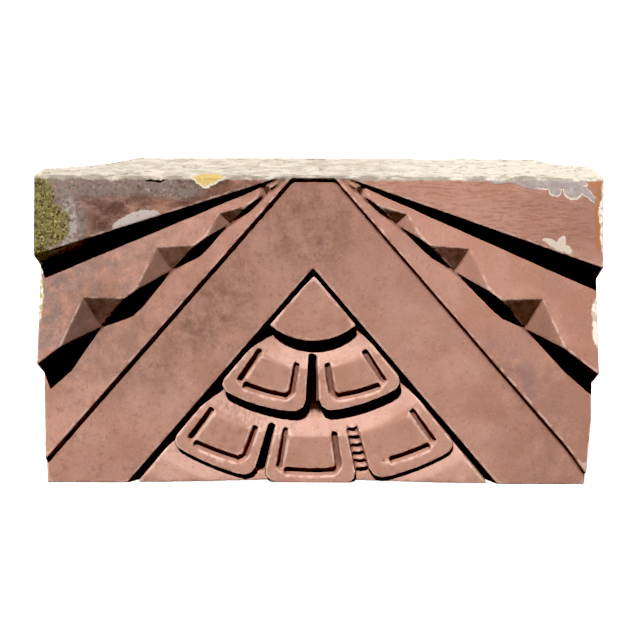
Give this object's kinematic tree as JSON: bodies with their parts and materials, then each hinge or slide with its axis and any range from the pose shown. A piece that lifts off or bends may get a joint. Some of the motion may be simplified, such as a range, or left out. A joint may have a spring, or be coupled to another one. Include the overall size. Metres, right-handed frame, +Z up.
{
  "type": "terracotta facade block",
  "caption": "Open-backed pressed terracotta facade block carved with a flat chevron, lapped notched bands and rows of scales in relief.",
  "frame": {"origin": "on the lower bed, under the middle of the block's box", "axes": "+X along the width, to the viewer's right when facing the carving; -Y out of the carved face; +Z up"},
  "size_m": [0.61, 0.184, 0.35],
  "materials": {
    "terracotta": "matt fired clay, red-brown face over a cream body, weathered"
  },
  "bodies": {
    "root": {"facade_block": "terracotta"}
  },
  "joints": []
}
